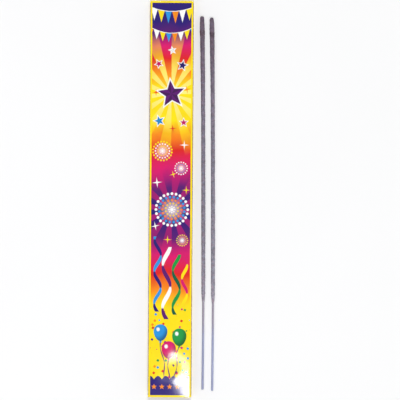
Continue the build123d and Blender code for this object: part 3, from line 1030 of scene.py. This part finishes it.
wireLook = {
    "marks": [(0.3, ink(134, 140, 172)), (0.5, ink(162, 168, 200)), (0.7, ink(184, 191, 224))],
    "markNoise": (3200.0, 3.0, 0.6),
    "markStretch": (1.0, 0.02, 1.0),
    "grain": {"Coarse": 700.0, "Fine": 2400.0, "Mottle": 120.0},
    "cloud": (ink(152, 158, 190), 0.5),
    "filmReach": (438.0, 400.0),       # from the tip, where the slurry's film is gone and where it is full
    "filmLevels": (0.9, 0.75, 1.15),   # weight of that reach beside the grains, levels of no and full film
    "filmEnd": 0.15,           # share of the reach over which it thins out
    "filmInks": [(0, ink(138, 121, 131)), (1, ink(181, 171, 180))],
    "film": 0.75,
    "markHeight": 0.5,         # of the draw marks beside the film's grains
    "roughness": (0.42, 0.8),  # of steel and of film
    "metal": (0.5, 0.05),
    "bump": (0.3, 0.00005),
}


def coatMaterial():
    # dried slurry: dull purple-grey at the tip, paler and greyer towards the tail, with metal flecks, and a
    # band of painted shade just under the drip ring
    look = coatLook
    material, tree, body = newMaterial("driedCoat")
    colour = ramp(tree, between(tree, pointValue(tree, "fromTip"), 0, sparkler["coatLength"]), look["inks"])
    grains = useGroup(tree, grain, Point=body, **look["grain"])
    shade = between(tree, grains["Speckle"], 0, 1, *look["speckle"])
    cloud = between(tree, grains["Cloud"], 0, 1, *look["cloud"])
    colour = scaled(tree, colour, times(tree, shade, cloud))
    shift, scale, detail = look["tintNoise"]
    hue = noise(tree, calcVector(tree, "ADD", body, shift), scale, detail)
    tint = paint(tree, *look["tints"], between(tree, hue, *look["tintLevels"]))
    colour = calcVector(tree, "MULTIPLY", colour, tint)
    scale, chance, outer, inner = look["fleck"]
    flecks = addNode(tree, "TexVoronoi", {"Vector": body, "Scale": scale}).outputs
    spark, pick, _ = addNode(tree, "SeparateColor", {0: flecks["Color"]}).outputs
    picked = calc(tree, "GREATER_THAN", pick, chance)
    fleck = times(tree, picked, between(tree, flecks["Distance"], outer, inner))
    colour = paint(tree, colour, look["fleckInk"], times(tree, fleck, spark))
    roughness = between(tree, fleck, 0, 1, *look["roughness"])
    setShader(tree, {"Base Color": colour, "Roughness": roughness}, grains["Speckle"], look["bump"])
    return material


def wireMaterial():
    # drawn, galvanised steel with lengthwise draw marks; the slurry's film dulls it next to the coat
    look = wireLook
    material, tree, body = newMaterial("galvanisedWire")
    marks = noise(tree, calcVector(tree, "MULTIPLY", body, look["markStretch"]), *look["markNoise"])
    grains = useGroup(tree, grain, Point=body, **look["grain"])
    tint, strength = look["cloud"]
    steel = paint(tree, ramp(tree, marks, look["marks"]), tint, times(tree, grains["Cloud"], strength))
    reach = between(tree, pointValue(tree, "fromTip"), *look["filmReach"])
    weight, none, full = look["filmLevels"]
    film = between(tree, timesPlus(tree, reach, weight, grains["Speckle"]), none, full)
    film = times(tree, film, between(tree, reach, 0.0, look["filmEnd"]))
    slurry = ramp(tree, grains["Speckle"], look["filmInks"])
    colour = paint(tree, steel, slurry, times(tree, film, look["film"]))
    inputs = {"Base Color": colour, "Roughness": between(tree, film, 0, 1, *look["roughness"]),
              "Metallic": between(tree, film, 0, 1, *look["metal"])}
    height = timesPlus(tree, marks, look["markHeight"], times(tree, film, grains["Speckle"]))
    setShader(tree, inputs, height, look["bump"])
    return material


driedCoat, galvanisedWire = coatMaterial(), wireMaterial()
print("materials:", len(bpy.data.materials))


def coatRadius(s):
    # a round tip, then eased steps from knot to knot, then a slightly crowned cone that runs out on the wire
    k = sparkler
    knots, radii = np.array(k["radii"]).T
    i = np.clip(np.searchsorted(knots, s) - 1, 0, len(knots) - 2)
    t = np.clip((s - knots[i]) / (knots[i + 1] - knots[i]), 0, 1)
    radius = radii[i] + (radii[i + 1] - radii[i]) * (0.5 * t + 0.5 * t * t * (3 - 2 * t))
    ball = (radii[0] ** 2 + knots[0] ** 2) / (2 * knots[0])
    dome = np.sqrt(np.clip(ball ** 2 - (ball - s) ** 2, 0, None))
    out = np.clip((s - knots[-1]) / (k["coatLength"] - knots[-1]), 0, 1)
    tail = k["wireRadius"] + (radii[-1] - k["wireRadius"]) * (1 - out) + k["tailCrown"] * np.sin(np.pi * out)
    return np.where(s < knots[0], dome, np.where(s > knots[-1], tail, radius))


def alongSparkler(name, bow):
    # a function of the distance from the tip that gives the bowed centre line, and two directions across it.
    # The line stands to one side by bow times one minus the cube of the share from the middle.
    k = sparkler
    low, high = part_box(name + "_wire")
    r = k["wireRadius"] * mm
    buried = np.array([low.x + r, high.y, high.z - r])
    free = np.array([high.x - r, low.y, low.z + r])
    way = (free - buried) / np.linalg.norm(free - buried)
    tip = buried - way * k["tipCover"] * mm
    side = np.array([-way[1], way[0], 0]) / np.hypot(way[0], way[1])

    def centre(s):
        offset = bow * (1 - np.abs(2 * s / k["length"] - 1) ** 3)
        return tip + (s[:, None] * way + offset[:, None] * side) * mm

    return centre, side, np.cross(way, side)


def turned(name, line, s, radius, push, floor, body, node, material):
    # rings round the centre line, with the radius and a push along the line given at every place along
    # and round, and nothing below the floor
    centre, side, up = line
    sides = radius.shape[1]
    angle = np.arange(sides) * 2 * np.pi / sides
    ring = np.cos(angle)[:, None] * side + np.sin(angle)[:, None] * up
    points = centre(s)[:, None, :] + (radius[..., None] * ring + push[..., None] * np.cross(side, up)) * mm
    points[..., 2] = np.maximum(points[..., 2], floor)
    quads, caps = loopFaces(len(s), sides)
    values = {"fromTip": np.repeat(s[:, None], sides, axis=1)}
    mesh = makeMesh(name, points, quads, caps, values=values, sharp=sparkler["sharp"])
    addPiece(mesh, [material], body, [node])


def makeSparkler(kind, i, ground):
    # coat and wire of one sparkler that lies on the ground
    k, made = sparkler, sparkler[kind]
    name = f"{kind}_sparkler_{i}"
    seed = made["seed"] + 10 * i
    floor = ground + made["floor"] * mm
    line = alongSparkler(name, made["bow"])
    rows, sides = made["rows"], made["sides"]
    tipLength, tipRadius = k["radii"][0]
    fewest, rowsForOne = k["tipRows"]
    tipRows = max(fewest, rows // rowsForOne)
    tip = tipLength * (1 - np.cos(np.linspace(k["poleAngle"], np.pi / 2, tipRows)))
    s = np.concatenate([tip[:-1], np.linspace(tipLength, k["coatLength"], rows - tipRows + 1)])

    # lumps and grains are soft noise as long as they are wide
    rowStep, colStep = k["coatLength"] / rows, 2 * np.pi * k["radii"][-1][1] / sides
    (lump, lumpLength), (grit, gritLength) = k["lump"], k["grit"]
    uneven = lump * softNoise(len(s), sides, lumpLength / rowStep, lumpLength / colStep, seed)
    uneven += grit * softNoise(len(s), sides, gritLength / rowStep, gritLength / colStep, seed + 1)
    fade, left = k["tailFade"]
    smoother = np.clip((k["coatLength"] - s) / fade, left, 1)[:, None] * made["rough"]
    uneven = np.clip(uneven, -k["most"], k["most"]) * smoother

    # on the round tip the unevenness evens out towards the pole, and pushes more and more lengthwise
    radius = coatRadius(s)[:, None]
    ringMean = uneven.mean(axis=1, keepdims=True)
    uneven = ringMean + (uneven - ringMean) * np.clip(radius / tipRadius, 0, 1)
    outwards = np.clip(s / tipLength, 0, 1)[:, None]
    turned(name + "_dipped_coat", line, s, radius + uneven * outwards, uneven * (outwards - 1), floor,
           name, name + "_coat", driedCoat)

    fromEnd, toCoat, count = k["hidden"]
    start, end = k["tipCover"], k["length"]
    hidden = np.linspace(start + fromEnd, k["coatLength"] - toCoat, count)
    shown = np.linspace(k["coatLength"] - k["shownFrom"], end - k["blunt"], made["wireRows"])
    s = np.concatenate([[start], hidden, shown, [end]])
    spread, rowBlur, colBlur = k["drawn"]
    radius = k["wireRadius"] + spread * softNoise(len(s), made["wireSides"], rowBlur, colBlur, seed + 2)
    radius[-1] -= k["blunt"]
    turned(name + "_steel_wire", line, s, radius, 0 * radius, floor,
           name, name + "_wire", galvanisedWire)


for i in (1, 2):
    makeSparkler("loose", i, 0.0)
for i in range(1, 9):
    makeSparkler("boxed", i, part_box("back_panel")[1].z)
print("sparklers done")


# Floor, light and camera

stage = {
    "floorSize": 6.0,
    "floorTone": (0.90, 0.93),
    "floorMottle": 3.0,
    "floorFinish": {"Roughness": 0.9, "Specular IOR Level": 0.1},
    "cameraAt": (0.0389, -0.0010, 2.0),
    "roll": 0.368,
    "lens": 134.1,
    "skyColour": (0.98, 0.985, 1.0, 1.0),
    "skyStrength": (0.92, 0.3),        # at the horizon and overhead
    "skyBlend": 0.5,           # how high up it stops changing
    "keyFrom": [(0.18, 1.3, 3.0), (0.18, -1.3, 3.0)],      # where the two key lights shine from
    "keyStrength": 1.1,
    "keyAngle": 12.0,          # how wide they look, in degrees
    "lamps": {                 # place, aim, size, watts
        "side": ((-1.0, -0.6, 2.2), (0.0, 0.0, 0.0), 1.0, 5.0),
        "glare": ((0.012, -0.425, 1.5), (0.02, -0.238, 0.0), 0.075, 0.65)},
}


def addLight(name, kind, place, aim, energy):
    light = bpy.data.lights.new(name, kind)
    light.energy = energy
    holder = addObject(name, light)
    holder.location = place
    holder.rotation_euler = (Vector(aim) - Vector(place)).to_track_quat("-Z", "Y").to_euler()
    return light


def makeStage():
    s = stage
    half = s["floorSize"] / 2
    floorPoints = np.array([(-half, -half, 0), (half, -half, 0), (half, half, 0), (-half, half, 0)], float)
    mesh = makeMesh("floor", floorPoints, np.array([[0, 1, 2, 3]]))
    addObject("floor", mesh)
    material, tree, body = newMaterial("paleFloor")
    tone = between(tree, noise(tree, body, s["floorMottle"]), 0, 1, *s["floorTone"])
    colour = addNode(tree, "CombineColor", {0: tone, 1: tone, 2: tone}).outputs[0]
    setShader(tree, {"Base Color": colour, **s["floorFinish"]})
    mesh.materials.append(material)

    world = bpy.data.worlds.new("studio")
    world.use_nodes = True
    tree = world.node_tree
    up = parts(tree, addNode(tree, "TexCoord").outputs["Generated"])["Z"]
    background = tree.nodes["Background"].inputs
    background["Color"].default_value = s["skyColour"]
    feed(tree, background["Strength"], between(tree, up, 0, s["skyBlend"], *s["skyStrength"]))
    bpy.context.scene.world = world
    for i, place in enumerate(s["keyFrom"]):
        key = addLight(f"key{i + 1}", "SUN", place, (0, 0, 0), s["keyStrength"])
        key.angle = np.radians(s["keyAngle"])
    for name, (place, aim, size, watts) in s["lamps"].items():
        lamp = addLight(name, "AREA", place, aim, watts)
        lamp.shape = "DISK"
        lamp.size = size

    camera = bpy.data.cameras.new("photoView")
    camera.lens = s["lens"]
    holder = addObject("photoView", camera)
    holder.location = s["cameraAt"]
    holder.rotation_euler = (0.0, 0.0, np.radians(s["roll"]))
    bpy.context.scene.camera = holder
    bpy.context.scene.view_settings.view_transform = "Standard"


makeStage()
print("stage done")
